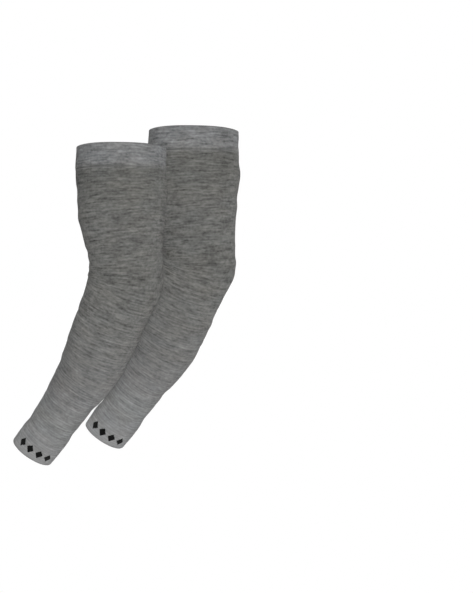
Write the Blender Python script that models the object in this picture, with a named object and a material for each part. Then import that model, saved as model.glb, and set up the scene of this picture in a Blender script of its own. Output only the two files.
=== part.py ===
"""A pair of knitted arm sleeves, filled out as if worn, one standing close behind the other.

Each sleeve is a tapered tube, knitted in the round and left open at both ends. It has three pieces:
the turned band that grips the upper arm, the sleeve itself, bent at the elbow, and the turned cuff
at the wrist. Metres, +Z up. The origin is the centre of the front sleeve's upper band, where the
upper arm holds it. +Z runs up along that arm, -Y is the front, and the forearm hangs towards -X.
"""
import math
from collections import namedtuple

import bmesh
import bpy
import numpy as np

# The sections down the sleeve, which the outline follows in smooth curves. Each row holds:
#   along   how far down the middle of the sleeve, from its top edge
#   tilt    how far the sleeve's middle line turns from straight down towards -X, in degrees
#   lean    how far it turns back towards +Y, in degrees
#   width   across the arm, as seen from the front
#   depth   from the front of the arm to its back
Section = namedtuple("Section", "along tilt lean width depth")
SECTIONS = [Section(*row) for row in (
    (0.000, 1.0, 0.0, 0.1035, 0.0940),
    (0.025, 0.0, 0.0, 0.1050, 0.0955),
    (0.055, -1.5, 0.5, 0.1045, 0.0950),
    (0.085, -3.0, 2.0, 0.0995, 0.0915),
    (0.110, -4.5, 4.5, 0.0915, 0.0860),
    (0.130, -3.5, 7.5, 0.0870, 0.0835),
    (0.150, 4.0, 11.0, 0.0875, 0.0830),
    (0.170, 20.5, 14.5, 0.0855, 0.0805),
    (0.195, 23.5, 18.0, 0.0800, 0.0745),
    (0.225, 22.5, 21.0, 0.0785, 0.0730),
    (0.255, 26.0, 23.0, 0.0745, 0.0695),
    (0.285, 34.0, 25.0, 0.0670, 0.0615),
    (0.315, 35.5, 26.0, 0.0580, 0.0525),
    (0.345, 35.5, 26.0, 0.0535, 0.0480),
    (0.370, 38.5, 26.0, 0.0535, 0.0480),
    (0.3955, 38.5, 26.0, 0.0515, 0.0465),
)]

# The largest folds, each a soft trough pressed into the wall, or a ridge where its depth is below
# zero. Each row holds:
#   along   the middle of the fold, down the sleeve
#   around  the middle of the fold, round the arm in degrees: 0 the elbow's outer side, 90 the back,
#           180 the crook of the elbow, 270 the front
#   reach   how far it runs each way round the arm, in degrees
#   spread  how far it runs each way down the sleeve
#   depth   how deep it is in the middle
#   slant   how far it drops down the sleeve in a quarter turn
Fold = namedtuple("Fold", "along around reach spread depth slant")
FOLDS = [Fold(*row) for row in (
    (0.018, 2, 48, 0.012, 0.0006, 0.000),
    (0.022, 182, 62, 0.020, -0.0006, 0.000),
    (0.050, 186, 58, 0.013, 0.0012, -0.004),
    (0.054, 2, 52, 0.017, -0.0017, 0.002),
    (0.080, 350, 56, 0.013, 0.0014, 0.006),
    (0.081, 180, 44, 0.013, -0.0012, 0.002),
    (0.091, 96, 64, 0.012, 0.0011, 0.005),
    (0.098, 262, 54, 0.011, 0.0009, -0.004),
    (0.119, 192, 60, 0.008, 0.0014, 0.003),
    (0.127, 150, 56, 0.009, 0.0015, -0.005),
    (0.134, 210, 72, 0.009, 0.0020, 0.006),
    (0.143, 338, 42, 0.009, 0.0012, 0.004),
    (0.144, 146, 62, 0.009, 0.0018, -0.008),
    (0.150, 216, 66, 0.008, 0.0016, 0.008),
    (0.151, 4, 34, 0.006, -0.0009, 0.000),
    (0.160, 6, 36, 0.010, -0.0015, 0.000),
    (0.162, 138, 54, 0.009, 0.0012, -0.009),
    (0.167, 228, 58, 0.008, 0.0013, 0.009),
    (0.178, 20, 50, 0.009, 0.0012, 0.004),
    (0.199, 184, 46, 0.013, -0.0009, 0.000),
    (0.211, 292, 52, 0.012, 0.0010, 0.007),
    (0.216, 356, 40, 0.009, -0.0009, 0.002),
    (0.233, 84, 62, 0.013, 0.0012, -0.005),
    (0.241, 184, 42, 0.012, -0.0005, 0.002),
    (0.245, 352, 34, 0.006, 0.0008, 0.001),
    (0.257, 214, 48, 0.012, 0.0008, 0.004),
    (0.261, 352, 44, 0.013, -0.0006, 0.002),
    (0.280, 182, 52, 0.012, 0.0009, 0.002),
    (0.308, 184, 48, 0.013, -0.0005, 0.002),
    (0.309, 358, 50, 0.012, 0.0010, -0.004),
    (0.329, 104, 54, 0.012, 0.0009, 0.004),
    (0.349, 12, 46, 0.012, 0.0010, 0.003),
    (0.361, 178, 50, 0.012, 0.0011, -0.003),
)]

# Lengths of the three pieces
SLEEVE_LENGTH = SECTIONS[-1].along
BAND_LENGTH = 0.026
CUFF_LENGTH = 0.020
SEAM_GAP = 0.0003

# Neither open end is cut square: the rim stands higher between its two side corners, and the wrist's
# end runs on further at the crook's side than at the outer side
RIM_RISE = 0.0019
CORNER_SHARPNESS = 4
CUFF_SLANT = 0.0016

# Cloth: the sleeve is one layer of knitting, the band and the cuff are turned back on themselves
SLEEVE_WALL = 0.0015
BAND_WALL = 0.0026
CUFF_WALL = 0.0024
TURNED_PROUD = 0.0003

# Facets
POINTS_AROUND = 28
COARSE_ROWS = 0.0105
ELBOW_ROWS = 0.0052
ELBOW_TOP = 0.107
ELBOW_BOTTOM = 0.185
TURNED_ROWS = 0.0080
TURN_STEPS = 4
AXIS_STEP = 0.0005
WELD = 1e-6
SHARP_ANGLE = math.radians(40)

# The second sleeve stands to the right of the first, behind it and a little higher
REAR_OFFSET = (0.0839, 0.0586, 0.0250)

# Finish of each piece, as a linear base colour and a roughness
BAND_COLOUR = (0.205, 0.207, 0.212)
SLEEVE_COLOUR = (0.143, 0.143, 0.136)
CUFF_COLOUR = (0.228, 0.228, 0.228)
KNIT_ROUGHNESS = 0.93


def column(name, along):
    """A column of the section table at any place along the sleeve, in a smooth curve."""
    places = np.array([section.along for section in SECTIONS])
    values = np.array([getattr(section, name) for section in SECTIONS])
    gaps = np.diff(places)
    slopes = np.diff(values) / gaps
    between = (slopes[:-1] * gaps[1:] + slopes[1:] * gaps[:-1]) / (gaps[1:] + gaps[:-1])
    bends = np.concatenate((slopes[:1], between, slopes[-1:]))
    row = np.clip(np.searchsorted(places, along, side="right") - 1, 0, len(gaps) - 1)
    part = (along - places[row]) / gaps[row]
    rest = 1 - part
    return ((1 + 2 * part) * rest ** 2 * values[row]
            + part * rest ** 2 * gaps[row] * bends[row]
            + part ** 2 * (3 - 2 * part) * values[row + 1]
            - part ** 2 * rest * gaps[row] * bends[row + 1])


def directions(along):
    """Three unit directions there: down the sleeve, across it and from its front to its back."""
    tilt = np.radians(column("tilt", along))
    lean = np.radians(column("lean", along))
    down = np.array((-np.sin(tilt) * np.cos(lean), np.sin(lean), -np.cos(tilt) * np.cos(lean)))
    across = np.array((np.cos(tilt), 0 * tilt, -np.sin(tilt)))
    back = np.array((np.sin(tilt) * np.sin(lean), np.cos(lean), np.cos(tilt) * np.sin(lean)))
    return down, across, back


def middle_line():
    """Places along the sleeve and the points of its middle line there, from the upper band's centre."""
    places = np.linspace(0, SLEEVE_LENGTH, round(SLEEVE_LENGTH / AXIS_STEP) + 1)
    down = directions(places)[0]
    steps = (down[:, 1:] + down[:, :-1]) / 2 * np.diff(places)
    points = np.concatenate((np.zeros((3, 1)), np.cumsum(steps, axis=1)), axis=1)
    held = [np.interp(BAND_LENGTH / 2, places, values) for values in points]
    return places, points - np.array(held)[:, None]


MIDDLE_PLACES, MIDDLE_POINTS = middle_line()


def soft_hump(distance):
    """A smooth hump: 1 in its middle and 0 from a distance of 1 outwards."""
    return math.cos(min(abs(distance), 1) * math.pi / 2) ** 2


def fold_depth(along, around):
    """How far the folds press the wall in at one place on the sleeve."""
    depth = 0
    for fold in FOLDS:
        turn = (around - fold.around + 180) % 360 - 180
        off_middle = along - fold.along - fold.slant * turn / 90
        depth += fold.depth * soft_hump(turn / fold.reach) * soft_hump(off_middle / fold.spread)
    return depth


def end_shift(along, around):
    """How far down the sleeve a point near an open end moves, because the ends aren't cut square."""
    side = math.cos(math.radians(around))
    at_rim = max(0, 1 - along / BAND_LENGTH)
    at_wrist = max(0, 1 - (SLEEVE_LENGTH - along) / CUFF_LENGTH)
    return -RIM_RISE * (1 - side ** CORNER_SHARPNESS) * at_rim - CUFF_SLANT * side * at_wrist


def wall_point(along, around, inward):
    """A point of the cloth, by its place down the sleeve, round the arm and in from the outside."""
    middle = np.array([np.interp(along, MIDDLE_PLACES, values) for values in MIDDLE_POINTS])
    down, across, back = directions(along)
    middle += end_shift(along, around) * down
    pressed = inward + fold_depth(along, around)
    half_width = column("width", along) / 2 - pressed
    half_depth = column("depth", along) / 2 - pressed
    angle = math.radians(around)
    return middle + half_width * math.cos(angle) * across + half_depth * math.sin(angle) * back


def sleeve_rows(top, bottom):
    """Places of the rings down the sleeve, closer together at the elbow where it bends and folds."""
    rows = [top]
    while rows[-1] < bottom:
        at_elbow = ELBOW_TOP <= rows[-1] <= ELBOW_BOTTOM
        rows.append(rows[-1] + (ELBOW_ROWS if at_elbow else COARSE_ROWS))
    rows[-1] = bottom
    return rows


def turned_rows(start, end):
    """Places of the rings of a band or a cuff, spread evenly from one end to the other."""
    return list(np.linspace(start, end, math.ceil(abs(end - start) / TURNED_ROWS) + 1))


def sleeve_outline(top, bottom):
    """The wall of the sleeve cut down its length: a thin strip with square ends, as (along, inward)."""
    rows = sleeve_rows(top, bottom)
    return [(row, 0) for row in rows] + [(row, SLEEVE_WALL) for row in reversed(rows)]


def turned_outline(seam, fold, wall):
    """The wall of a band or a cuff cut down its length: square at its seam and round at its fold."""
    side = 1 if fold > seam else -1
    round_centre = fold - side * wall / 2
    rows = turned_rows(seam, round_centre)
    outline = [(row, -TURNED_PROUD) for row in rows]
    for step in range(1, TURN_STEPS):
        angle = math.pi * step / TURN_STEPS
        along = round_centre + side * wall / 2 * math.sin(angle)
        outline.append((along, wall / 2 * (1 - math.cos(angle)) - TURNED_PROUD))
    outline += [(row, wall - TURNED_PROUD) for row in reversed(rows)]
    return outline


def tube_mesh(name, outline, material):
    """A closed wall: a grid whose rows follow the outline and whose columns go round the arm."""
    mesh = bpy.data.meshes.new(name)
    shape = bmesh.new()
    bmesh.ops.create_grid(shape, x_segments=len(outline), y_segments=POINTS_AROUND, size=1)
    for vertex in shape.verts:
        station = round((vertex.co.x + 1) / 2 * len(outline)) % len(outline)
        turn = round((vertex.co.y + 1) / 2 * POINTS_AROUND) % POINTS_AROUND
        along, inward = outline[station]
        vertex.co = wall_point(along, turn * 360 / POINTS_AROUND, inward)
    bmesh.ops.remove_doubles(shape, verts=shape.verts, dist=WELD)
    bmesh.ops.recalc_face_normals(shape, faces=shape.faces)
    shape.to_mesh(mesh)
    shape.free()
    mesh.shade_smooth()
    mesh.set_sharp_from_angle(angle=SHARP_ANGLE)
    mesh.materials.append(material)
    return mesh


def knit_material(name, colour):
    """Plain matt knitting in one colour."""
    material = bpy.data.materials.new(name)
    material.use_nodes = True
    shader = material.node_tree.nodes["Principled BSDF"]
    shader.inputs["Base Color"].default_value = (*colour, 1)
    shader.inputs["Roughness"].default_value = KNIT_ROUGHNESS
    shader.inputs["Metallic"].default_value = 0
    return material


def upper_band_mesh():
    """The band round the upper arm, folded over at the open top."""
    outline = turned_outline(seam=BAND_LENGTH, fold=0, wall=BAND_WALL)
    return tube_mesh("upper_band", outline, knit_material("upper_band", BAND_COLOUR))


def sleeve_mesh():
    """The sleeve between the band and the cuff, from the upper arm round the elbow to the wrist."""
    outline = sleeve_outline(BAND_LENGTH + SEAM_GAP, SLEEVE_LENGTH - CUFF_LENGTH - SEAM_GAP)
    return tube_mesh("sleeve", outline, knit_material("sleeve", SLEEVE_COLOUR))


def wrist_cuff_mesh():
    """The cuff at the wrist, folded over at the open end."""
    outline = turned_outline(seam=SLEEVE_LENGTH - CUFF_LENGTH, fold=SLEEVE_LENGTH, wall=CUFF_WALL)
    return tube_mesh("wrist_cuff", outline, knit_material("wrist_cuff", CUFF_COLOUR))


def place(name, mesh, location):
    """One piece of one sleeve, standing where that sleeve stands."""
    piece = bpy.data.objects.new(name, mesh)
    piece.location = location
    bpy.context.scene.collection.objects.link(piece)


def main():
    for old in list(bpy.data.objects):
        bpy.data.objects.remove(old)
    meshes = (upper_band_mesh(), sleeve_mesh(), wrist_cuff_mesh())
    for sleeve, location in (("front", (0, 0, 0)), ("rear", REAR_OFFSET)):
        for mesh in meshes:
            place(f"{sleeve}_{mesh.name}", mesh, location)


main()
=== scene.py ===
# %% [markdown]
# # A pair of knitted arm sleeves
#
# An arm sleeve is one tube of fine jersey, knitted in the round and pulled on over the arm. Its first
# and last courses are turned inwards and linked down, as a band at the upper arm and a cuff at the
# wrist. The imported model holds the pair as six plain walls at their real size: a band, a sleeve and a
# cuff for each arm.
#
# This lesson dresses those walls. Each one is replaced by a thinner, softer shell on the same form,
# with the small creases, the linked seams and the marled knit that a camera sees from a step away.
# Everything is in metres, with +Z up along the upper arm and -Y towards the viewer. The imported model
# comes first, because every size below is read from it or set against it.

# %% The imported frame
import math
from collections import namedtuple

import bmesh
import bpy
import numpy as np
from mathutils import Matrix, Vector, noise


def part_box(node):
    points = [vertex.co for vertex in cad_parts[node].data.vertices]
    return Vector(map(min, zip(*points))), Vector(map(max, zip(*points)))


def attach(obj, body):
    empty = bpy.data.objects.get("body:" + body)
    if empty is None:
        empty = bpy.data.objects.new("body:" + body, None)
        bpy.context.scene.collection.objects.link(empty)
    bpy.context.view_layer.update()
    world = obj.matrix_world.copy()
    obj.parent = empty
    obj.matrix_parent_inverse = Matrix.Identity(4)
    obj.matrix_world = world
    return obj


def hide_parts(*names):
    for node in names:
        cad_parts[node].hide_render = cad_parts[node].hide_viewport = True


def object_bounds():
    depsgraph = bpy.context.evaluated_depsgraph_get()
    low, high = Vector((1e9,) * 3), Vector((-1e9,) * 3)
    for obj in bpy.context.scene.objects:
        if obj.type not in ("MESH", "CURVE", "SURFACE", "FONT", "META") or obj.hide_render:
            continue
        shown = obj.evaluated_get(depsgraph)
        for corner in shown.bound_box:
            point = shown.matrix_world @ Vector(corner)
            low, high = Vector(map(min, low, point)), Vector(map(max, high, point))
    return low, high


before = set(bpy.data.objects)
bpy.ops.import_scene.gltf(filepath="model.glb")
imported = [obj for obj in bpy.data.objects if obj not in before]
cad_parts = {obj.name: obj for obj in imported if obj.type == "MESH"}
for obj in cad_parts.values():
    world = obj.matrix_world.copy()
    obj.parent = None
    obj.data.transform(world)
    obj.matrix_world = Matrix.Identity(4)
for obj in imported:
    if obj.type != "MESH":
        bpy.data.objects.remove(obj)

cad_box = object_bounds()
REAR_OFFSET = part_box("rear_sleeve")[0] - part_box("front_sleeve")[0]
print("nodes", sorted(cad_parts))
print("box in mm", [[round(1000 * value, 1) for value in corner] for corner in cad_box])
print("the rear sleeve stands off by", [round(1000 * value, 1) for value in REAR_OFFSET], "mm")

# %% [markdown]
# ## The camera
#
# The sleeves are seen from a little below, so the near edge of each open top hides the far edge and
# the rim shows as a low arch. The sleeve behind shows just as large as the one in front, as it does
# from very far off. A lens would shrink it, even a long one some way back, so an orthographic camera
# is used. Its width of view is set by the size of a pixel, and one named pixel, where the origin
# shows in the picture, fixes the frame.

# %% The camera
PICTURE = (473, 593)
ORIGIN_PIXEL = (121.3, 158.4)
PIXEL_SIZE = 0.00116
CAMERA_DISTANCE = 4.0
CAMERA_RISE = math.radians(5.4)

camera_right = Vector((1, 0, 0))
camera_up = Vector((0, -math.sin(CAMERA_RISE), math.cos(CAMERA_RISE)))
camera_look = Vector((0, math.cos(CAMERA_RISE), math.sin(CAMERA_RISE)))
target = PIXEL_SIZE * (camera_right * (PICTURE[0] / 2 - ORIGIN_PIXEL[0])
                       + camera_up * (ORIGIN_PIXEL[1] - PICTURE[1] / 2))

camera_data = bpy.data.cameras.new("camera")
camera_data.type = "ORTHO"
camera_data.ortho_scale = PICTURE[1] * PIXEL_SIZE
camera_data.clip_end = 100.0
camera = bpy.data.objects.new("camera", camera_data)
camera.location = target - camera_look * CAMERA_DISTANCE
camera.rotation_euler = (math.pi / 2 + CAMERA_RISE, 0, 0)
bpy.context.scene.collection.objects.link(camera)
bpy.context.scene.camera = camera
print("a view", round(camera_data.ortho_scale, 3), "m high, aimed at",
      [round(value, 4) for value in target])

# %% [markdown]
# ## Floor and light
#
# The pair is shown cut out on white, lit so evenly that the sides are only a little darker than the
# middle, the left ones more, and neither sleeve throws a shadow on the other. A wearer's arms would
# hold the sleeves well above the ground, so the pale floor lies far below them. It is seen through
# from underneath, because the camera may look up from below it.
#
# A bright sky all round would be as even, but it darkens every place that something hides from it,
# such as the rear sleeve beside the front one. So a large panel far off, close to the camera's line,
# gives most of the light and hides its shadows behind the sleeves. Three panels behind lift the edges
# that turn away and keep the backs readable, and one above lets some light into the open tops. The
# sky and the floor are weak sources, so both are given a white or pale glow for the camera alone.

# %% Floor, sky and panels
FLOOR_HEIGHT = -1.5
FLOOR_HALF_SIDE = 30.0
FLOOR_COLOUR = (0.60, 0.60, 0.60, 1)
FLOOR_GLOW = 0.45
SKY_STRENGTH = 0.10

Panel = namedtuple("Panel", "name azimuth height distance side watts")
PANELS = [Panel(*row) for row in (
    ("front_panel", 4.5, -3, 12.0, 2.0, 1690),
    ("right_panel", 145, -10, 2.5, 0.9, 26),
    ("left_panel", -150, 8, 2.5, 0.9, 16),
    ("back_panel", 180, 25, 2.6, 1.0, 40),
    ("top_panel", 20, 74, 3.0, 1.4, 24),
)]


def link_to_scene(name, data):
    """A new object that holds the data, linked into the scene."""
    made = bpy.data.objects.new(name, data)
    bpy.context.scene.collection.objects.link(made)
    return made


def studio_floor():
    """One large pale square, facing up."""
    shape = bmesh.new()
    bmesh.ops.create_grid(shape, x_segments=1, y_segments=1, size=FLOOR_HALF_SIDE,
                          matrix=Matrix.Translation((0, 0, FLOOR_HEIGHT)))
    mesh = bpy.data.meshes.new("studio_floor")
    shape.to_mesh(mesh)
    shape.free()
    return link_to_scene("studio_floor", mesh)


def floor_material():
    """Matt with a pale glow for the camera alone from above, and clear from below."""
    material = bpy.data.materials.new("pale_floor")
    material.use_nodes = True
    tree = material.node_tree
    shader = tree.nodes["Principled BSDF"]
    shader.inputs["Base Color"].default_value = FLOOR_COLOUR
    shader.inputs["Roughness"].default_value = 1.0
    shader.inputs["Specular IOR Level"].default_value = 0.0
    shader.inputs["Emission Color"].default_value = (1, 1, 1, 1)
    path = tree.nodes.new("ShaderNodeLightPath")
    glow = tree.nodes.new("ShaderNodeMath")
    glow.operation = "MULTIPLY"
    glow.inputs[1].default_value = FLOOR_GLOW
    tree.links.new(path.outputs["Is Camera Ray"], glow.inputs[0])
    tree.links.new(glow.outputs[0], shader.inputs["Emission Strength"])
    side = tree.nodes.new("ShaderNodeNewGeometry")
    clear = tree.nodes.new("ShaderNodeBsdfTransparent")
    mix = tree.nodes.new("ShaderNodeMixShader")
    tree.links.new(side.outputs["Backfacing"], mix.inputs["Fac"])
    tree.links.new(shader.outputs["BSDF"], mix.inputs[1])
    tree.links.new(clear.outputs["BSDF"], mix.inputs[2])
    tree.links.new(mix.outputs["Shader"], tree.nodes["Material Output"].inputs["Surface"])
    return material


def studio_sky():
    """A weak even sky that looks white to the camera."""
    world = bpy.data.worlds.new("studio_sky")
    world.use_nodes = True
    tree = world.node_tree
    fill = tree.nodes["Background"]
    fill.inputs["Color"].default_value = (1, 1, 1, 1)
    fill.inputs["Strength"].default_value = SKY_STRENGTH
    white = tree.nodes.new("ShaderNodeBackground")
    white.inputs["Color"].default_value = (1, 1, 1, 1)
    path = tree.nodes.new("ShaderNodeLightPath")
    mix = tree.nodes.new("ShaderNodeMixShader")
    tree.links.new(path.outputs["Is Camera Ray"], mix.inputs["Fac"])
    tree.links.new(fill.outputs["Background"], mix.inputs[1])
    tree.links.new(white.outputs["Background"], mix.inputs[2])
    tree.links.new(mix.outputs["Shader"], tree.nodes["World Output"].inputs["Surface"])
    return world


def light_panel(panel, centre):
    """A square soft light, aimed at the middle of the pair from its azimuth and height in degrees."""
    azimuth = math.radians(panel.azimuth)
    height = math.radians(panel.height)
    way = Vector((math.sin(azimuth) * math.cos(height),
                  -math.cos(azimuth) * math.cos(height),
                  math.sin(height)))
    data = bpy.data.lights.new(panel.name, "AREA")
    data.size = panel.side
    data.energy = panel.watts
    light = link_to_scene(panel.name, data)
    light.location = centre + way * panel.distance
    light.rotation_euler = way.to_track_quat("Z", "Y").to_euler()
    light.visible_camera = False


floor = studio_floor()
floor.data.materials.append(floor_material())
bpy.context.scene.world = studio_sky()
bpy.context.scene.view_settings.view_transform = "Standard"
for panel in PANELS:
    light_panel(panel, (cad_box[0] + cad_box[1]) / 2)
print(len(PANELS), "panels and a floor", round(cad_box[0].z - FLOOR_HEIGHT, 2), "m below the cuffs")

# %% [markdown]
# ## The form of a worn sleeve
#
# A sleeve that is filled out follows the arm: widest at the upper arm, bent and narrower at the elbow,
# then tapering down a forearm that swings out and back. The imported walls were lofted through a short
# table of sections, and the shells have to lie on them, so the same table drives them here. Each row
# gives a place down the sleeve, the turn of its middle line there, and the oval's width and depth.
# Smooth curves through the columns stand between the rows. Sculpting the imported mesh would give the
# facets too, and they would show.

# %% The sections
Section = namedtuple("Section", "along tilt lean width depth")
SECTIONS = [Section(*row) for row in (
    (0.000, 1.0, 0.0, 0.1035, 0.0940),
    (0.025, 0.0, 0.0, 0.1050, 0.0955),
    (0.055, -1.5, 0.5, 0.1045, 0.0950),
    (0.085, -3.0, 2.0, 0.0995, 0.0915),
    (0.110, -4.5, 4.5, 0.0915, 0.0860),
    (0.130, -3.5, 7.5, 0.0870, 0.0835),
    (0.150, 4.0, 11.0, 0.0875, 0.0830),
    (0.170, 20.5, 14.5, 0.0855, 0.0805),
    (0.195, 23.5, 18.0, 0.0800, 0.0745),
    (0.225, 22.5, 21.0, 0.0785, 0.0730),
    (0.255, 26.0, 23.0, 0.0745, 0.0695),
    (0.285, 34.0, 25.0, 0.0670, 0.0615),
    (0.315, 35.5, 26.0, 0.0580, 0.0525),
    (0.345, 35.5, 26.0, 0.0535, 0.0480),
    (0.370, 38.5, 26.0, 0.0535, 0.0480),
    (0.3955, 38.5, 26.0, 0.0515, 0.0465),
)]
SLEEVE_LENGTH = SECTIONS[-1].along
BAND_LENGTH = 0.026
CUFF_LENGTH = 0.020
RIM_RISE = 0.0019
CORNER_SHARPNESS = 4
CUFF_SLANT = 0.0016
AXIS_STEP = 0.0005


def column(name, along):
    """A column of the section table at any places along the sleeve, in a smooth curve."""
    places = np.array([section.along for section in SECTIONS])
    values = np.array([getattr(section, name) for section in SECTIONS])
    gaps = np.diff(places)
    slopes = np.diff(values) / gaps
    between = (slopes[:-1] * gaps[1:] + slopes[1:] * gaps[:-1]) / (gaps[1:] + gaps[:-1])
    bends = np.concatenate((slopes[:1], between, slopes[-1:]))
    row = np.clip(np.searchsorted(places, along, side="right") - 1, 0, len(gaps) - 1)
    part = (along - places[row]) / gaps[row]
    rest = 1 - part
    return ((1 + 2 * part) * rest ** 2 * values[row]
            + part * rest ** 2 * gaps[row] * bends[row]
            + part ** 2 * (3 - 2 * part) * values[row + 1]
            - part ** 2 * rest * gaps[row] * bends[row + 1])


def directions(along):
    """Three unit directions there: down the sleeve, across it and from its front to its back."""
    tilt = np.radians(column("tilt", along))
    lean = np.radians(column("lean", along))
    down = np.array((-np.sin(tilt) * np.cos(lean), np.sin(lean), -np.cos(tilt) * np.cos(lean)))
    across = np.array((np.cos(tilt), 0 * tilt, -np.sin(tilt)))
    back = np.array((np.sin(tilt) * np.sin(lean), np.cos(lean), np.cos(tilt) * np.sin(lean)))
    return down, across, back


def middle_line():
    """Places along the sleeve and the points of its middle line there, from the upper band's centre."""
    places = np.linspace(0, SLEEVE_LENGTH, round(SLEEVE_LENGTH / AXIS_STEP) + 1)
    down = directions(places)[0]
    steps = (down[:, 1:] + down[:, :-1]) / 2 * np.diff(places)
    points = np.concatenate((np.zeros((3, 1)), np.cumsum(steps, axis=1)), axis=1)
    held = [np.interp(BAND_LENGTH / 2, places, values) for values in points]
    return places, points - np.array(held)[:, None]


MIDDLE_PLACES, MIDDLE_POINTS = middle_line()
print("the middle line ends at", (1000 * MIDDLE_POINTS[:, -1]).round(1), "mm")

# %% [markdown]
# ## Folds and creases
#
# A stretched knit lies smooth on the upper arm, then gathers into short slanting troughs in the crook
# of the elbow and lets small ones run out round the outside. The largest are already in the packed
# walls, so the first table repeats them. The second adds the finer ones, on the hidden sides too.
# They are troughs pressed into the wall, or ridges where the depth is below zero, as uneven in
# length, depth and spacing as real ones. A row gives the middle of a fold down and round the sleeve,
# how far it reaches round and down, its depth, and how far it slants down in a quarter turn. A cloth
# simulation could make folds, but it would move the outline that has to stay on the walls.

# %% The tables of folds and creases
QUARTER_TURN = 90

Fold = namedtuple("Fold", "along around reach spread depth slant")
FOLDS = [Fold(*row) for row in (
    (0.018, 2, 48, 0.012, 0.0006, 0.000),
    (0.022, 182, 62, 0.020, -0.0006, 0.000),
    (0.050, 186, 58, 0.013, 0.0012, -0.004),
    (0.054, 2, 52, 0.017, -0.0017, 0.002),
    (0.080, 350, 56, 0.013, 0.0014, 0.006),
    (0.081, 180, 44, 0.013, -0.0012, 0.002),
    (0.091, 96, 64, 0.012, 0.0011, 0.005),
    (0.098, 262, 54, 0.011, 0.0009, -0.004),
    (0.119, 192, 60, 0.008, 0.0014, 0.003),
    (0.127, 150, 56, 0.009, 0.0015, -0.005),
    (0.134, 210, 72, 0.009, 0.0020, 0.006),
    (0.143, 338, 42, 0.009, 0.0012, 0.004),
    (0.144, 146, 62, 0.009, 0.0018, -0.008),
    (0.150, 216, 66, 0.008, 0.0016, 0.008),
    (0.151, 4, 34, 0.006, -0.0009, 0.000),
    (0.160, 6, 36, 0.010, -0.0015, 0.000),
    (0.162, 138, 54, 0.009, 0.0012, -0.009),
    (0.167, 228, 58, 0.008, 0.0013, 0.009),
    (0.178, 20, 50, 0.009, 0.0012, 0.004),
    (0.199, 184, 46, 0.013, -0.0009, 0.000),
    (0.211, 292, 52, 0.012, 0.0010, 0.007),
    (0.216, 356, 40, 0.009, -0.0009, 0.002),
    (0.233, 84, 62, 0.013, 0.0012, -0.005),
    (0.241, 184, 42, 0.012, -0.0005, 0.002),
    (0.245, 352, 34, 0.006, 0.0008, 0.001),
    (0.257, 214, 48, 0.012, 0.0008, 0.004),
    (0.261, 352, 44, 0.013, -0.0006, 0.002),
    (0.280, 182, 52, 0.012, 0.0009, 0.002),
    (0.308, 184, 48, 0.013, -0.0005, 0.002),
    (0.309, 358, 50, 0.012, 0.0010, -0.004),
    (0.329, 104, 54, 0.012, 0.0009, 0.004),
    (0.349, 12, 46, 0.012, 0.0010, 0.003),
    (0.361, 178, 50, 0.012, 0.0011, -0.003),
)]
CREASES = [Fold(*row) for row in (
    (0.033, 276, 20, 0.0030, 0.0003, 0.000),
    (0.043, 207, 24, 0.0026, 0.0009, 0.001),
    (0.056, 322, 30, 0.0040, 0.0004, 0.001),
    (0.066, 244, 34, 0.0040, 0.0003, -0.001),
    (0.070, 60, 40, 0.0045, 0.0005, 0.002),
    (0.082, 312, 26, 0.0036, 0.0005, 0.001),
    (0.088, 196, 28, 0.0040, 0.0005, 0.002),
    (0.101, 330, 28, 0.0040, 0.0004, 0.003),
    (0.106, 120, 36, 0.0042, 0.0005, -0.002),
    (0.112, 214, 34, 0.0036, 0.0005, 0.003),
    (0.115, 44, 30, 0.0045, 0.0004, 0.002),
    (0.121, 236, 30, 0.0034, -0.0003, 0.004),
    (0.126, 204, 36, 0.0034, 0.0006, 0.003),
    (0.133, 158, 34, 0.0034, 0.0006, -0.004),
    (0.138, 246, 34, 0.0036, 0.0005, 0.005),
    (0.142, 198, 30, 0.0034, 0.0006, 0.004),
    (0.147, 302, 28, 0.0045, 0.0007, 0.001),
    (0.151, 130, 34, 0.0036, 0.0006, -0.005),
    (0.157, 284, 17, 0.0034, 0.0005, 0.000),
    (0.157, 338, 24, 0.0042, 0.0006, 0.003),
    (0.160, 206, 34, 0.0034, 0.0006, 0.006),
    (0.168, 312, 30, 0.0040, 0.0004, 0.002),
    (0.171, 44, 34, 0.0042, 0.0006, 0.004),
    (0.175, 212, 32, 0.0036, 0.0005, 0.005),
    (0.177, 108, 38, 0.0042, 0.0005, -0.004),
    (0.187, 268, 58, 0.0030, -0.0004, 0.002),
    (0.193, 276, 52, 0.0032, 0.0004, 0.002),
    (0.196, 350, 34, 0.0042, 0.0005, 0.003),
    (0.209, 198, 30, 0.0032, 0.0007, 0.003),
    (0.214, 130, 36, 0.0042, 0.0005, -0.003),
    (0.226, 250, 42, 0.0036, 0.0004, 0.002),
    (0.238, 28, 36, 0.0042, 0.0005, 0.002),
    (0.243, 320, 30, 0.0038, 0.0004, 0.002),
    (0.252, 154, 34, 0.0042, 0.0004, -0.002),
    (0.263, 238, 36, 0.0034, 0.0005, 0.002),
    (0.271, 96, 40, 0.0040, 0.0004, 0.001),
    (0.277, 302, 40, 0.0034, -0.0003, 0.001),
    (0.293, 232, 32, 0.0034, 0.0005, 0.002),
    (0.300, 52, 38, 0.0040, 0.0004, 0.002),
    (0.306, 290, 34, 0.0034, 0.0004, 0.001),
    (0.318, 150, 38, 0.0038, 0.0004, -0.001),
    (0.323, 246, 36, 0.0032, 0.0004, 0.001),
    (0.339, 312, 32, 0.0032, 0.0004, 0.001),
    (0.346, 76, 40, 0.0034, 0.0004, 0.001),
    (0.355, 258, 38, 0.0030, 0.0003, 0.000),
    (0.367, 300, 44, 0.0028, 0.0003, 0.000),
)]


def soft_hump(distance):
    """A smooth hump: 1 in its middle and 0 from a distance of 1 outwards."""
    return np.cos(np.minimum(np.abs(distance), 1) * np.pi / 2) ** 2


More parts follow.
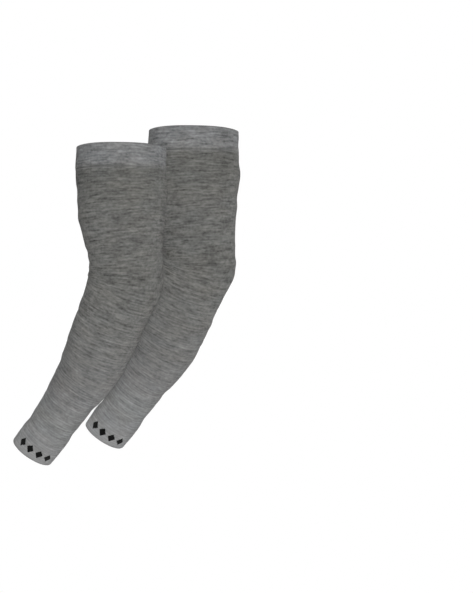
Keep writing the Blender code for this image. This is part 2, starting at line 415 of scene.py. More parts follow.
def strength(mark, along, around):
    """How strongly a row of a table acts at places on the sleeve: 1 in its middle, 0 past its edge."""
    turn = (around - mark.around + 180) % 360 - 180
    off_middle = along - mark.along - mark.slant * turn / QUARTER_TURN
    return soft_hump(turn / mark.reach) * soft_hump(off_middle / mark.spread)


def fold_depth(along, around):
    """How far the folds and creases press the wall in at places on the sleeve."""
    depth = np.zeros(len(along))
    for fold in FOLDS + CREASES:
        depth += fold.depth * strength(fold, along, around)
    return depth


print(len(FOLDS), "folds and", len(CREASES), "creases on each sleeve")

# %% [markdown]
# ## The slack of the knit
#
# No knitted tube is as even as a formula. Stitches differ, so the surface rises and falls by a few
# tenths of a millimetre, in patches that run longer round the arm than down it. Blender's noise
# function gives that. It is read on a cylinder, so the two ends of each course meet without a step,
# and it is read by place alone, so both faces of a wall and both layers of a turned end move together.

# %% The slack
Slack = namedtuple("Slack", "round_arm down_arm height")
SLACK = [Slack(*row) for row in (
    (0.034, 0.026, 0.00034),
    (0.015, 0.006, 0.00020),
)]
SLACK_CYLINDER = 0.040


def slack_depth(along, around, seed):
    """How far the uneven knit lies in or out at places on the sleeve."""
    angle = np.radians(around)
    depth = np.zeros(len(along))
    for slack in SLACK:
        places = np.stack((np.cos(angle) * SLACK_CYLINDER / slack.round_arm,
                           np.sin(angle) * SLACK_CYLINDER / slack.round_arm,
                           along / slack.down_arm + seed), axis=1)
        depth += slack.height * np.array([noise.noise(Vector(place)) for place in places])
    return depth


def end_shift(along, around):
    """How far down the sleeve a point near an open end moves, because the ends aren't cut square."""
    side = np.cos(np.radians(around))
    at_rim = np.maximum(0, 1 - along / BAND_LENGTH)
    at_wrist = np.maximum(0, 1 - (SLEEVE_LENGTH - along) / CUFF_LENGTH)
    return -RIM_RISE * (1 - side ** CORNER_SHARPNESS) * at_rim - CUFF_SLANT * side * at_wrist


def cloth_points(along, around, inward, seed):
    """Points of the cloth, by their places down the sleeve, round the arm and in from its outside."""
    middle = np.array([np.interp(along, MIDDLE_PLACES, values) for values in MIDDLE_POINTS])
    down, across, back = directions(along)
    middle += end_shift(along, around) * down
    pressed = inward + fold_depth(along, around) + slack_depth(along, around, seed)
    half_width = column("width", along) / 2 - pressed
    half_depth = column("depth", along) / 2 - pressed
    angle = np.radians(around)
    points = middle + half_width * np.cos(angle) * across + half_depth * np.sin(angle) * back
    return points.T


# %% [markdown]
# ## Walls of cloth
#
# Cut down its length, each piece is a thin strip: the sleeve a single layer with two soft ends, the
# band and the cuff one cloth that runs down the outside, turns over at the open end and comes back
# inside. A Solidify modifier could thicken a bare tube, but it can't turn cloth over. So a grid is
# used: its rows follow the strip's outline and its columns go round the arm, and the edges that meet
# are welded. The strip's outline is worked out from a few named sizes. Where two pieces meet, their
# ends are only a little rounded, because knitting runs on there and a deep groove would look cut.

# %% The strips
SLEEVE_WALL = 0.0012
TURNED_WALL = 0.0026
BAND_PROUD = 0.0003
CUFF_PROUD = 0.0001
TONGUE_WALL = 0.0010
TONGUE_LENGTH = 0.0025
OUTER_ROWS = 0.0011
INNER_ROWS = 0.0026
TURNED_ROWS = 0.0008
ROUND_STEPS = 4
JOIN_ROUNDING = 0.35
END_CLEAR = 0.00012

Station = namedtuple("Station", "along inward")


def rows_between(start, end, spacing):
    """Places from start to end, evenly spread and no further apart than the spacing."""
    return np.linspace(start, end, math.ceil(abs(end - start) / spacing) + 1)


def round_end(along, reach, outer, inner):
    """The stations of a rounded end from the outer face to the inner one, which bulges by its reach."""
    radius = (inner - outer) / 2
    angles = [math.pi * step / ROUND_STEPS for step in range(1, ROUND_STEPS)]
    return [Station(along + reach * math.sin(angle), outer + radius * (1 - math.cos(angle)))
            for angle in angles]


def sleeve_strip(top, bottom):
    """One layer of jersey: the outer face down the sleeve, and the inner face back up."""
    bulge = JOIN_ROUNDING * SLEEVE_WALL / 2
    first, last = top + bulge, bottom - bulge
    strip = [Station(row, 0) for row in rows_between(first, last, OUTER_ROWS)]
    strip += round_end(last, bulge, 0, SLEEVE_WALL)
    strip += [Station(row, SLEEVE_WALL) for row in rows_between(last, first, INNER_ROWS)]
    strip += round_end(first, -bulge, SLEEVE_WALL, 0)
    return strip


def turned_strip(seam, fold, proud):
    """A turned end: out along its face, round the fold, and back inside to a hem behind the seam."""
    side = 1 if fold > seam else -1
    outer = -proud
    inner = TURNED_WALL - proud
    tuck = inner - TONGUE_WALL
    fold_radius = TURNED_WALL / 2
    hem_radius = TONGUE_WALL / 2
    bulge = JOIN_ROUNDING * (tuck - outer) / 2
    fold_centre = fold - side * fold_radius
    lip = seam + side * bulge
    hem = seam - side * (TONGUE_LENGTH - hem_radius)
    strip = [Station(row, outer) for row in rows_between(lip, fold_centre, TURNED_ROWS)]
    strip += round_end(fold_centre, side * fold_radius, outer, inner)
    strip += [Station(row, inner) for row in rows_between(fold_centre, hem, TURNED_ROWS)]
    strip += round_end(hem, -side * hem_radius, inner, tuck)
    strip += [Station(row, tuck) for row in rows_between(hem, lip, TURNED_ROWS)]
    strip += round_end(lip, -side * bulge, tuck, outer)
    return strip


CUFF_SEAM = SLEEVE_LENGTH - CUFF_LENGTH
BAND_STRIP = turned_strip(BAND_LENGTH, 0, BAND_PROUD)
SLEEVE_STRIP = sleeve_strip(BAND_LENGTH + END_CLEAR, CUFF_SEAM - END_CLEAR)
CUFF_STRIP = turned_strip(CUFF_SEAM, SLEEVE_LENGTH, CUFF_PROUD)
print("stations:", len(BAND_STRIP), "band,", len(SLEEVE_STRIP), "sleeve,", len(CUFF_STRIP), "cuff")

# %% [markdown]
# ## Pale and dark places
#
# A worn knit isn't one grey all over. Where it is drawn tight it is darker, and where it lies loose
# it is paler, in the yarn's own tone. Where it lies in a crease, or on a side turned from the light,
# it looks darker, and where it stands proud it looks paler; the light alone gives only a part of
# that, so the rest is painted shade and painted light. A table places all these patches, like the
# folds, on the hidden sides too. Each has a share by which the yarn is paler there, or darker where
# it is below zero. A second table says how strong the marl is and how plainly every third course
# shows: the first is strong on the upper arm and faint at the cuff, the second shows best on the
# forearm.

# %% The tables of patches and habits
Patch = namedtuple("Patch", "along around reach spread share slant")
# Some patches are the yarn's own uneven tone; the others are painted shade in creases and on sides
# turned from the light, and painted light on proud ridges.
TONE_AND_SHADE_PATCHES = [Patch(*row) for row in (
    (0.0030, 320, 30, 0.0052, -0.14, 0.000),
    (0.0040, 198, 34, 0.0060, -0.06, 0.001),
    (0.0125, 214, 22, 0.0022, -0.10, 0.000),
    (0.0130, 200, 40, 0.0160, -0.10, 0.000),
    (0.0130, 322, 30, 0.0160, -0.10, 0.000),
    (0.0210, 210, 40, 0.0016, -0.28, 0.000),
    (0.0210, 60, 50, 0.0016, -0.22, 0.000),
    (0.0226, 322, 30, 0.0042, -0.24, 0.000),
    (0.0250, 292, 40, 0.0015, 0.12, 0.000),
    (0.0252, 224, 52, 0.0017, -0.34, 0.000),
    (0.0252, 100, 56, 0.0017, -0.28, 0.000),
    (0.0262, 322, 28, 0.0014, 0.18, 0.000),
    (0.0276, 244, 34, 0.0015, 0.22, 0.000),
    (0.0286, 320, 32, 0.0028, -0.34, 0.000),
    (0.0315, 320, 32, 0.0052, -0.12, 0.000),
    (0.0325, 268, 15, 0.0016, -0.20, 0.000),
    (0.0330, 206, 46, 0.0140, -0.16, 0.002),
    (0.0425, 200, 16, 0.0017, -0.60, 0.001),
    (0.0540, 316, 20, 0.0030, -0.16, 0.001),
    (0.0600, 96, 30, 0.0040, -0.10, 0.002),
    (0.0660, 240, 24, 0.0020, 0.10, 0.001),
    (0.0700, 322, 34, 0.0500, -0.04, 0.000),
    (0.0780, 312, 17, 0.0065, -0.13, 0.001),
    (0.0880, 60, 24, 0.0030, -0.12, 0.002),
    (0.0940, 287, 21, 0.0028, -0.16, 0.010),
    (0.1010, 248, 11, 0.0030, -0.14, 0.002),
    (0.1130, 318, 19, 0.0030, -0.14, 0.004),
    (0.1180, 120, 26, 0.0030, -0.12, -0.004),
    (0.1230, 256, 26, 0.0022, -0.12, 0.003),
    (0.1280, 256, 36, 0.0022, 0.12, 0.003),
    (0.1370, 256, 26, 0.0026, -0.12, 0.006),
    (0.1400, 88, 34, 0.0022, 0.10, -0.003),
    (0.1500, 294, 18, 0.0080, -0.13, 0.004),
    (0.1500, 332, 14, 0.0060, -0.12, 0.003),
    (0.1520, 110, 20, 0.0070, -0.12, -0.004),
    (0.1870, 268, 40, 0.0020, 0.10, 0.002),
    (0.1880, 334, 19, 0.0024, -0.16, 0.006),
    (0.1980, 140, 20, 0.0060, -0.12, -0.004),
    (0.2040, 212, 20, 0.0062, -0.18, 0.004),
    (0.2280, 206, 18, 0.0100, -0.11, 0.004),
    (0.2320, 66, 24, 0.0022, 0.12, 0.002),
    (0.2450, 304, 20, 0.0022, 0.16, 0.002),
    (0.2620, 118, 24, 0.0090, -0.09, -0.003),
    (0.2730, 230, 24, 0.0100, -0.10, 0.003),
    (0.3000, 214, 22, 0.0120, -0.08, 0.003),
    # These two broad patches are painted shade on the forearm's left side and painted light on its
    # right.
    (0.3000, 224, 44, 0.1000, -0.09, 0.000),
    (0.3000, 316, 44, 0.1000, 0.05, 0.000),
    (0.3050, 84, 24, 0.0024, 0.12, 0.002),
    (0.3210, 280, 22, 0.0024, 0.16, 0.002),
    (0.3360, 40, 26, 0.0060, 0.06, 0.002),
    (0.3420, 262, 30, 0.0060, 0.06, 0.002),
)]
Habit = namedtuple("Habit", "along marl courses")
HABITS = [Habit(*row) for row in (
    (0.000, 1.00, 0.15),
    (0.100, 1.05, 0.30),
    (0.180, 1.00, 0.80),
    (0.240, 0.80, 1.00),
    (0.330, 0.65, 1.00),
    (0.372, 0.50, 0.90),
    (0.396, 0.30, 0.70),
)]


def paleness_and_painted_shade(along, around):
    """Paler or darker than its tone on the sleeve, as a factor: yarn tone, painted shade and light."""
    factor = np.ones(len(along))
    for patch in TONE_AND_SHADE_PATCHES:
        factor += patch.share * strength(patch, along, around)
    return factor


def habit(name, along):
    """A column of the table of habits at places down the sleeve."""
    return np.interp(along, [row.along for row in HABITS], [getattr(row, name) for row in HABITS])


print(len(TONE_AND_SHADE_PATCHES), "pale or dark patches on each sleeve")

# %% [markdown]
# ## From a strip to a tube
#
# The grid comes from one bmesh operator. Its own square says which station and which turn a point
# belongs to, so the points are moved to the cloth from there. Four things are kept for the
# materials. A UV map has one turn round the arm across and the cloth's running length up. One
# attribute has the same place wrapped on a cylinder of the arm's size, where a pattern meets itself
# all round. Both are kept by face corner, because the strip's end is welded to its start, and one
# point there has two running lengths. Two more attributes have the place down the sleeve, and how
# pale the knit is there, with its painted shade and light, and its habits.

# %% The tube
POINTS_AROUND = 180
WELD = 1e-6
KNIT_PLACE = "knit_place"
KNIT_STATE = "knit_state"
KNIT_ALONG = "knit_along"


def running_length(strip):
    """How far along the cloth each station lies, on round to the first one again."""
    ring = np.array(strip + strip[:1])
    steps = np.hypot(*np.diff(ring, axis=0).T)
    return strip[0].along + np.concatenate(([0], np.cumsum(steps)))


def grid_mesh(name, rows, columns):
    """A flat grid as a mesh, with the row and the column of each of its points."""
    shape = bmesh.new()
    bmesh.ops.create_grid(shape, x_segments=rows, y_segments=columns, size=1)
    mesh = bpy.data.meshes.new(name)
    shape.to_mesh(mesh)
    shape.free()
    square = np.zeros(3 * len(mesh.vertices), np.float32)
    mesh.vertices.foreach_get("co", square)
    place = (square.reshape(-1, 3)[:, :2] + 1) / 2 * (rows, columns)
    row, turn = place.round().astype(int).T
    return mesh, row, turn


def keep_vectors(mesh, name, domain, columns):
    """Stores three columns of numbers on the mesh's points or corners, as one vector attribute."""
    attribute = mesh.attributes.new(name, "FLOAT_VECTOR", domain)
    attribute.data.foreach_set("vector", np.stack(columns, axis=1).astype(np.float32).ravel())


def lay_pattern(mesh, row, turn, length, radius):
    """Keeps each face corner's place on the cloth: a UV map and a place wrapped on a cylinder."""
    corner = np.zeros(len(mesh.loops), np.int32)
    mesh.loops.foreach_get("vertex_index", corner)
    places = np.stack((turn / POINTS_AROUND, length[row]), axis=1).astype(np.float32)
    mesh.uv_layers.new(name="knit").data.foreach_set("uv", places[corner].ravel())
    angle = 2 * np.pi * turn / POINTS_AROUND
    wrapped = (radius * np.cos(angle), radius * np.sin(angle), length[row])
    keep_vectors(mesh, KNIT_PLACE, "CORNER", [values[corner] for values in wrapped])


def weld_and_smooth(mesh):
    """Joins the edges that meet, turns every face outwards and shades the cloth smooth."""
    shape = bmesh.new()
    shape.from_mesh(mesh)
    bmesh.ops.remove_doubles(shape, verts=shape.verts, dist=WELD)
    bmesh.ops.recalc_face_normals(shape, faces=shape.faces)
    shape.to_mesh(mesh)
    shape.free()
    mesh.shade_smooth()


def cloth_tube(name, strip, offset, seed):
    """A closed shell of cloth: the strip's outline, taken all round the arm."""
    mesh, row, turn = grid_mesh(name, len(strip), POINTS_AROUND)
    along, inward = np.array(strip)[row % len(strip)].T
    around = (turn % POINTS_AROUND) * 360 / POINTS_AROUND
    points = cloth_points(along, around, inward, seed) + np.array(offset)
    mesh.vertices.foreach_set("co", points.astype(np.float32).ravel())
    radius = (column("width", along) + column("depth", along)) / 4
    lay_pattern(mesh, row, turn, running_length(strip), radius)
    keep_vectors(mesh, KNIT_STATE, "POINT",
                 (paleness_and_painted_shade(along, around), habit("marl", along), habit("courses", along)))
    places = mesh.attributes.new(KNIT_ALONG, "FLOAT", "POINT")
    places.data.foreach_set("value", along.astype(np.float32))
    weld_and_smooth(mesh)
    tube = link_to_scene(name, mesh)
    print(name, len(mesh.polygons), "faces")
    return tube


# %% [markdown]
# ## Linking stitches
#
# A turned end is held by a row of linking loops, one beside the next, all round: outside along the
# seam, and inside along the hem. From a step away they read as a fine broken line. Each is a small
# bead of yarn, laid slightly aslant and half sunk in the cloth. A modifier could array one along a
# curve, but the ring isn't round and its spacing has to close, so a loop places them on the same
# cloth as everything else.

# %% The linking stitches
STITCH_LENGTH = 0.0017
STITCH_WIDTH = 0.0006
STITCH_SPACING = 0.0019
STITCH_SLANT = math.radians(24)
STITCH_SUNK = 0.00012
STITCH_OFF_SEAM = 0.0009
GIRTH_STEPS = 360


def bead():
    """The points and faces of one small rounded bead of yarn, longest along X."""
    shape = bmesh.new()
    size = Matrix.Diagonal((STITCH_LENGTH / 2, STITCH_WIDTH / 2, STITCH_WIDTH / 2, 1))
    bmesh.ops.create_uvsphere(shape, u_segments=6, v_segments=4, radius=1, matrix=size)
    points = np.array([corner.co for corner in shape.verts])
    faces = [[corner.index for corner in face.verts] for face in shape.faces]
    shape.free()
    return points, faces


def ring_of_beads(along, inward, offset, seed, facing):
    """The points of a ring of beads round the arm, bead by bead. Facing is 1 outside and -1 inside."""
    turns = np.arange(GIRTH_STEPS) * 360 / GIRTH_STEPS
    ring = cloth_points(np.full(GIRTH_STEPS, along), turns, np.full(GIRTH_STEPS, inward), seed)
    girth = np.linalg.norm(ring - np.roll(ring, 1, axis=0), axis=1).sum()
    count = round(girth / STITCH_SPACING)
    around = np.arange(count) * 360 / count
    level = np.full(count, along)
    depth = np.full(count, inward + facing * STITCH_SUNK)
    here = cloth_points(level, around, depth, seed) + np.array(offset)
    ahead = cloth_points(level, around + 1, depth, seed) + np.array(offset)
    forward = (ahead - here) / np.linalg.norm(ahead - here, axis=1)[:, None]
    outward = np.cross(forward, directions(level)[0].T)
    outward /= np.linalg.norm(outward, axis=1)[:, None]
    side = np.cross(outward, forward)
    long_way = math.cos(STITCH_SLANT) * forward + math.sin(STITCH_SLANT) * side
    short_way = math.cos(STITCH_SLANT) * side - math.sin(STITCH_SLANT) * forward
    frames = np.stack((long_way, short_way, outward), axis=1)
    return here[:, None, :] + BEAD_POINTS @ frames


def linking(name, seam, side, offset, seed):
    """The linking of one turned end: a ring outside the seam and a ring inside the hem."""
    outside = ring_of_beads(seam - side * STITCH_OFF_SEAM, 0, offset, seed, 1)
    hem = seam - side * (TONGUE_LENGTH + STITCH_OFF_SEAM)
    inside = ring_of_beads(hem, SLEEVE_WALL, offset, seed, -1)
    beads = np.concatenate((outside, inside))
    faces = [[corner + number * len(BEAD_POINTS) for corner in face]
             for number in range(len(beads)) for face in BEAD_FACES]
    mesh = bpy.data.meshes.new(name)
    mesh.from_pydata(beads.reshape(-1, 3), [], faces)
    mesh.shade_smooth()
    print(name, len(outside), "stitches outside and", len(inside), "inside")
    return link_to_scene(name, mesh)


BEAD_POINTS, BEAD_FACES = bead()

# %% [markdown]
# ## The marled knit
#
# The yarn is spun from dark and pale fibres, so no two centimetres of it match, and knitting lays it
# round the arm. That is why the cloth shows short level streaks, pale and dark, rather than speckles.
# A picture of a knit would be easy, but it would have an edge and a fixed size. Here noises are read
# on the wrapped place: streaks, long drawn lines, short flecks and soft clouds. They are stretched
# round the arm and squeezed down it. One more tints the grey a little warm here and cool there.
#
# The stitches themselves are no larger than a millimetre or so: small Vs that stand in columns, the
# wales, and in rows, the courses. Their height is worked out from the UV map. Painted shade darkens
# the knit in the gaps between stitches, and every third course is drawn firmer, which gives the
# fine level lines on the forearm.

# %% Nodes for a knit
WALES = 216
COURSE = 0.00095
LEG_SWEEP = 1.2 * math.pi
LOOP_SWING = 0.45
STITCH_SHADE = 0.16
FIRM_COURSE = 3
FIRM_SHADE = 0.13
TINT_SHARE = 0.05
TINT_SIZE = (0.0300, 0.0150)
TINT_SEED = 5

Marl = namedtuple("Marl", "name round_arm down_arm detail share")
MARL = [Marl(*row) for row in (
    ("streaks", 0.0130, 0.0025, 2.0, 1.40),
    ("drawn_lines", 0.0260, 0.0021, 1.0, 0.90),
    ("flecks", 0.0036, 0.0022, 1.0, 0.90),
    ("clouds", 0.0500, 0.0200, 2.0, 0.25),
)]


def add_node(tree, kind, inputs=(), **settings):
    """A node with its settings, and its inputs filled with numbers or with other nodes' outputs."""
    made = tree.nodes.new(kind)
    for name, value in settings.items():
        setattr(made, name, value)
    for socket, value in dict(inputs).items():
        if isinstance(value, bpy.types.NodeSocket):
            tree.links.new(value, made.inputs[socket])
        else:
            made.inputs[socket].default_value = value
    return made


def maths(tree, operation, *values):
    """The output of one Math node."""
    return add_node(tree, "ShaderNodeMath", enumerate(values), operation=operation).outputs[0]


def patchy(tree, name, round_arm, down_arm, detail, seed):
    """A noise on the wrapped place, in patches of the given sizes, from about -0.5 to 0.5."""
    place = add_node(tree, "ShaderNodeAttribute", attribute_name=KNIT_PLACE).outputs["Vector"]
    laid = add_node(tree, "ShaderNodeMapping",
                    {"Vector": place, "Location": (seed, seed / 2, 0),
                     "Scale": (1 / round_arm, 1 / round_arm, 1 / down_arm)})
    spots = add_node(tree, "ShaderNodeTexNoise",
                     {"Vector": laid.outputs[0], "Scale": 1.0, "Detail": detail}, label=name)
    return maths(tree, "SUBTRACT", spots.outputs[0], 0.5)


def marl_of(tree, seed):
    """A share, above or below 0, by which streaks, flecks and clouds lighten or darken the yarn."""
    share = 0.0
    for marl in MARL:
        level = patchy(tree, marl.name, marl.round_arm, marl.down_arm, marl.detail, seed)
        share = maths(tree, "MULTIPLY_ADD", level, marl.share, share)
    return share


def stitches_of(tree):
    """The height of the stitches, from 0 to 1, and how firm the course is there, from -1 to 1."""
    uv = add_node(tree, "ShaderNodeUVMap", uv_map="knit").outputs[0]
    split = add_node(tree, "ShaderNodeSeparateXYZ", {0: uv})
    wale = maths(tree, "FRACT", maths(tree, "MULTIPLY", split.outputs[0], WALES))
    aside = maths(tree, "ABSOLUTE", maths(tree, "MULTIPLY_ADD", wale, 2.0, -1.0))
    leg = maths(tree, "MULTIPLY_ADD", aside, 2.0, -1.0)
    rounded = maths(tree, "SUBTRACT", 1.0, maths(tree, "MULTIPLY", leg, leg))
    level = maths(tree, "MULTIPLY", split.outputs[1], 2 * math.pi / COURSE)
    loop = maths(tree, "COSINE", maths(tree, "MULTIPLY_ADD", aside, -LEG_SWEEP, level))
    looped = maths(tree, "MULTIPLY_ADD", loop, LOOP_SWING, 1 - LOOP_SWING)
    firm = maths(tree, "COSINE", maths(tree, "DIVIDE", level, FIRM_COURSE))
    return maths(tree, "MULTIPLY", rounded, looped), firm


print(len(MARL), "noises make the marl;", WALES, "wales go round the arm and a course is",
      1000 * COURSE, "mm")


# %% [markdown]
# ## Tone down the sleeve
#
# The knit is paler where it is less stretched: at the band, and again towards the wrist. Between them
# it is a shade darker and a little warm. Near the band's seam a drawn course shows as a soft dark
# line and the loops beside it as a pale one. A paler course on the band and a darker stretch just
# below it are painted light and painted shade of the band's slight bulge. At each open end the
# courses that turn over are painted darkest, as shade on the fold that turns away from the light. A
# Color Ramp by the place down the sleeve holds these tones: most as the colour of the yarn in even
# light, these few with painted light and shade. It is read a little up or down, by a slow noise, so
# that no line is ruled.

# %% Tones
LINE_WAVER = 0.0014
WAVER_SIZE = (0.0240, 0.0100)

Tone = namedtuple("Tone", "along red green blue")
BAND_TONES_AND_SHADING = [Tone(*row) for row in (
    # The dark first stop is painted shade on the rim's fold; the pale stop at 19 mm is painted light on
    # the bulge.
    (0.0000, 0.098, 0.100, 0.101),
    (0.0012, 0.184, 0.187, 0.189),
    (0.0100, 0.172, 0.175, 0.177),
    (0.0190, 0.190, 0.193, 0.194),
    (0.0210, 0.174, 0.176, 0.177),
    (0.0228, 0.178, 0.180, 0.179),
    (0.0248, 0.154, 0.155, 0.152),
    (0.0260, 0.154, 0.155, 0.151),
)]
SLEEVE_TONES_AND_SHADING = [Tone(*row) for row in (
    # From 28 to 34 mm the sleeve darkens: painted shade under the band, running into the stretched
    # upper arm's darker tone.
    (0.0262, 0.146, 0.146, 0.142),
    (0.0275, 0.152, 0.152, 0.147),
    (0.0290, 0.126, 0.126, 0.120),
    (0.0340, 0.120, 0.120, 0.113),
    (0.0500, 0.121, 0.121, 0.114),
    (0.0700, 0.127, 0.127, 0.120),
    (0.0880, 0.136, 0.136, 0.130),
    (0.1500, 0.132, 0.132, 0.125),
    (0.2000, 0.148, 0.148, 0.142),
    (0.2600, 0.161, 0.161, 0.157),
    (0.3100, 0.186, 0.186, 0.185),
    (0.3400, 0.199, 0.203, 0.201),
    (0.3700, 0.226, 0.228, 0.228),
)]
CUFF_TONES_AND_SHADING = [Tone(*row) for row in (
    (0.3757, 0.234, 0.236, 0.236),
    (0.3800, 0.246, 0.248, 0.248),
    (0.3930, 0.270, 0.271, 0.271),
    # The last two stops are painted shade on the cuff's fold, where it turns away from the light.
    (0.3946, 0.190, 0.191, 0.191),
    (0.3960, 0.150, 0.151, 0.151),
)]


def tone_of(tree, tones, along, seed):
    """The yarn's colour, and painted light and shade, by how far down the sleeve it is, from a table.
    """
    waver = patchy(tree, "waver", *WAVER_SIZE, 1.0, seed)
    along = maths(tree, "MULTIPLY_ADD", waver, LINE_WAVER, along)
    ramp = add_node(tree, "ShaderNodeValToRGB",
                    {0: maths(tree, "DIVIDE", along, SLEEVE_LENGTH)})
    stops = ramp.color_ramp.elements
    while len(stops) < len(tones):
        stops.new(0.5)    # its real place is set just below
    for stop, tone in zip(stops, tones):
        stop.position = min(1, tone.along / SLEEVE_LENGTH)
        stop.color = (tone.red, tone.green, tone.blue, 1)
    return ramp.outputs["Color"]


print(len(BAND_TONES_AND_SHADING), "tones on the band,", len(SLEEVE_TONES_AND_SHADING), "on the sleeve and",
      len(CUFF_TONES_AND_SHADING), "on the cuff")


# %% [markdown]
# ## The row of lozenges
#
# A row of small plain black lozenges is knitted into the front of each cuff. Knitting can only change
# yarn from stitch to stitch, so their slanting edges are really steps. An image could hold them, but
# four lozenges are a short sum: how far a place lies from the nearest one's middle, across and down,
# read in whole stitches.

# %% Lozenges
BLACK_YARN = (0.002, 0.002, 0.002, 1)
LOZENGE_COUNT = 4
LOZENGE_FIRST = 237
LOZENGE_PITCH = 27
LOZENGE_WIDTH = 0.0092
LOZENGE_HEIGHT = 0.0112
LOZENGE_ALONG = 0.3835
CUFF_GIRTH = 0.157


def lozenges_of(tree):
    """1 in the lozenges and 0 between them, stepped from stitch to stitch."""
    uv = add_node(tree, "ShaderNodeUVMap", uv_map="knit").outputs[0]
    split = add_node(tree, "ShaderNodeSeparateXYZ", {0: uv})
    turn = maths(tree, "SNAP", split.outputs[0], 1 / WALES)
    along = maths(tree, "SNAP", split.outputs[1], COURSE)
    past_first = maths(tree, "MULTIPLY_ADD", turn, 360 / LOZENGE_PITCH, -LOZENGE_FIRST / LOZENGE_PITCH)
    nearest = maths(tree, "ROUND", past_first)
    nearest = maths(tree, "MINIMUM", maths(tree, "MAXIMUM", nearest, 0.0), LOZENGE_COUNT - 1.0)
    across = maths(tree, "ABSOLUTE", maths(tree, "SUBTRACT", past_first, nearest))
    down = maths(tree, "ABSOLUTE", maths(tree, "SUBTRACT", along, LOZENGE_ALONG))
    pitch_length = CUFF_GIRTH * LOZENGE_PITCH / 360
    across = maths(tree, "MULTIPLY", across, pitch_length / (LOZENGE_WIDTH / 2))
    down = maths(tree, "DIVIDE", down, LOZENGE_HEIGHT / 2)
    return maths(tree, "LESS_THAN", maths(tree, "ADD", across, down), 1.0)


print(LOZENGE_COUNT, "lozenges, each", round(LOZENGE_HEIGHT / COURSE), "courses high")


# %% [markdown]
# ## The yarns
#
# Each piece gets its own knit: tone times marl and the patches, tinted, with painted shade between
# the stitches, and their relief as bump. Cotton and nylon yarn is matt, with only a breath of sheen.
# Its loose fibres stand every way and light up from the side they are lit from, so a knit looks
# flatter than paint does; a high diffuse roughness gives that. The linking loops are the same yarn
# without stitches of their own, so their material is plainer, with the ply's fine twist and painted
# shade in its grooves.

# %% Materials
YARN_ROUGHNESS = 0.92
YARN_DIFFUSE_ROUGHNESS = 0.7
YARN_GLOSS = 0.15
YARN_SHEEN = 0.04
STITCH_RELIEF = 0.00016
PLY_PITCH = 0.0006
PLY_SHADE = 0.16
PLY_RELIEF = 0.00004
WAVE_RATE = 10 * math.sqrt(3)    # radians a metre across the wave node's diagonal bands
MIX_FIRST, MIX_SECOND, MIX_RESULT = 6, 7, 2    # the colour sockets of Blender's Mix node


def matt_yarn(name):
    """A new material with a knit's gloss and sheen, its node tree and its shader."""
    material = bpy.data.materials.new(name)
    material.use_nodes = True
    shader = material.node_tree.nodes["Principled BSDF"]
    shader.inputs["Roughness"].default_value = YARN_ROUGHNESS
    shader.inputs["Diffuse Roughness"].default_value = YARN_DIFFUSE_ROUGHNESS
    shader.inputs["Specular IOR Level"].default_value = YARN_GLOSS
    shader.inputs["Sheen Weight"].default_value = YARN_SHEEN
    return material, material.node_tree, shader


def scaled(tree, colour, factor):
    """A colour times a number."""
    return add_node(tree, "ShaderNodeVectorMath", {0: colour, "Scale": factor},
                    operation="SCALE").outputs[0]


def tinted(tree, colour, seed):
    """The colour, a little warmer in some places and cooler in others."""
    warmth = patchy(tree, "tint", *TINT_SIZE, 1.0, seed + TINT_SEED)
    red = maths(tree, "MULTIPLY_ADD", warmth, TINT_SHARE, 1.0)
    blue = maths(tree, "MULTIPLY_ADD", warmth, -TINT_SHARE, 1.0)
    tint = add_node(tree, "ShaderNodeCombineXYZ", {0: red, 1: 1.0, 2: blue}).outputs[0]
    return add_node(tree, "ShaderNodeVectorMath", {0: colour, 1: tint},
                    operation="MULTIPLY").outputs[0]


def knit_material(name, piece, seed):
    """The marled knit of one piece, with black lozenges where the piece has them."""
    material, tree, shader = matt_yarn(name)
    height, firm = stitches_of(tree)
    state = add_node(tree, "ShaderNodeAttribute", attribute_name=KNIT_STATE).outputs["Vector"]
    state = add_node(tree, "ShaderNodeSeparateXYZ", {0: state})
    paler, marl_share, course_share = state.outputs
    # Painted shade in the gaps between the stitches, where their height is low.
    shade = maths(tree, "MULTIPLY_ADD", height, STITCH_SHADE, 1 - STITCH_SHADE / 2)
    firm = maths(tree, "MULTIPLY", firm, course_share)
    shade = maths(tree, "MULTIPLY", shade, maths(tree, "MULTIPLY_ADD", firm, FIRM_SHADE / 2, 1.0))
    # The patches: the yarn's own tone in some, painted shade and painted light in others.
    shade = maths(tree, "MULTIPLY", shade, paler)
    marl = maths(tree, "MULTIPLY_ADD", marl_of(tree, seed), marl_share, 1.0)
    marled = maths(tree, "MULTIPLY", shade, marl)
    along = add_node(tree, "ShaderNodeAttribute", attribute_name=KNIT_ALONG).outputs["Fac"]
    tone = tone_of(tree, piece.tones, along, seed)
    colour = tinted(tree, scaled(tree, tone, marled), seed)
    if piece.lozenges:
        mix = add_node(tree, "ShaderNodeMix", data_type="RGBA")
        tree.links.new(lozenges_of(tree), mix.inputs["Factor"])
        tree.links.new(colour, mix.inputs[MIX_FIRST])
        mix.inputs[MIX_SECOND].default_value = BLACK_YARN
        colour = mix.outputs[MIX_RESULT]
    bump = add_node(tree, "ShaderNodeBump", {"Height": height, "Distance": STITCH_RELIEF})
    tree.links.new(colour, shader.inputs["Base Color"])
    tree.links.new(bump.outputs[0], shader.inputs["Normal"])
    return material


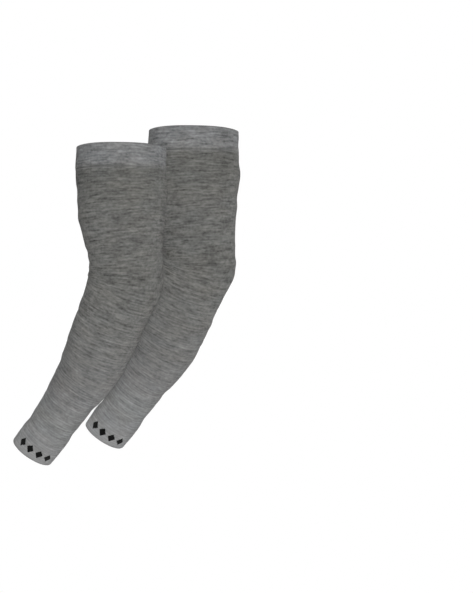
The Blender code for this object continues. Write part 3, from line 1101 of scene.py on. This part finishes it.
def linking_material(name, tone):
    """Plain grey yarn with the fine slanting lines of its twist, painted shade in their grooves."""
    material, tree, shader = matt_yarn(name)
    place = add_node(tree, "ShaderNodeTexCoord").outputs["Object"]
    ply = add_node(tree, "ShaderNodeTexWave",
                   {"Vector": place, "Scale": 2 * math.pi / (PLY_PITCH * WAVE_RATE)},
                   wave_type="BANDS", bands_direction="DIAGONAL").outputs[1]
    # Painted shade in the grooves of the twist, where its bump is low.
    shade = maths(tree, "MULTIPLY_ADD", ply, PLY_SHADE, 1 - PLY_SHADE / 2)
    colour = scaled(tree, (tone.red, tone.green, tone.blue), shade)
    bump = add_node(tree, "ShaderNodeBump", {"Height": ply, "Distance": PLY_RELIEF})
    tree.links.new(colour, shader.inputs["Base Color"])
    tree.links.new(bump.outputs[0], shader.inputs["Normal"])
    return material


# %% [markdown]
# ## Putting the pair together
#
# Both sleeves come from the same strips. Only the place and the seed of the slack and the marl differ,
# as they would between two sleeves from one machine.

# %% The pair
Arm = namedtuple("Arm", "name offset seed")
ARMS = (Arm("front", Vector((0, 0, 0)), 3.0), Arm("rear", REAR_OFFSET, 17.0))
Piece = namedtuple("Piece", "name strip tones slot lozenges")
PIECES = (
    Piece("upper_band", BAND_STRIP, BAND_TONES_AND_SHADING, "upper_band", False),
    Piece("sleeve", SLEEVE_STRIP, SLEEVE_TONES_AND_SHADING, "sleeve_body", False),
    Piece("wrist_cuff", CUFF_STRIP, CUFF_TONES_AND_SHADING, "wrist_cuff", True),
)
Linking = namedtuple("Linking", "name seam side tone")
LINKINGS = (
    Linking("upper_band", BAND_LENGTH, -1, SLEEVE_TONES_AND_SHADING[1]),
    Linking("wrist_cuff", CUFF_SEAM, 1, CUFF_TONES_AND_SHADING[0]),
)

tubes = {}
loops = {}
for arm in ARMS:
    for piece in PIECES:
        tube = cloth_tube(f"{arm.name}_{piece.name}_knit", piece.strip, arm.offset, arm.seed)
        tube.data.materials.append(knit_material(f"{arm.name}_{piece.name}_yarn", piece, arm.seed))
        tubes[arm.name, piece.name] = tube
    for row in LINKINGS:
        ring = linking(f"{arm.name}_{row.name}_linking", row.seam, row.side, arm.offset, arm.seed)
        ring.data.materials.append(linking_material(f"{arm.name}_{row.name}_loops", row.tone))
        loops[arm.name, row.name] = ring

# %% [markdown]
# ## Putting each piece on the part's body
#
# Every piece rides on the part's one body, and so does each ring of linking. Each shell replaces
# the imported wall that it dresses, which is hidden.

for arm in ARMS:
    for piece in PIECES:
        tube = tubes[arm.name, piece.name]
        ring = loops.get((arm.name, piece.name))
        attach(tube, "root")
        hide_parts(f"{arm.name}_{piece.name}")
        if ring:
            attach(ring, "root")
print(len(tubes), "sheets of knit and", len(loops), "rings of linking ride on the part's body")
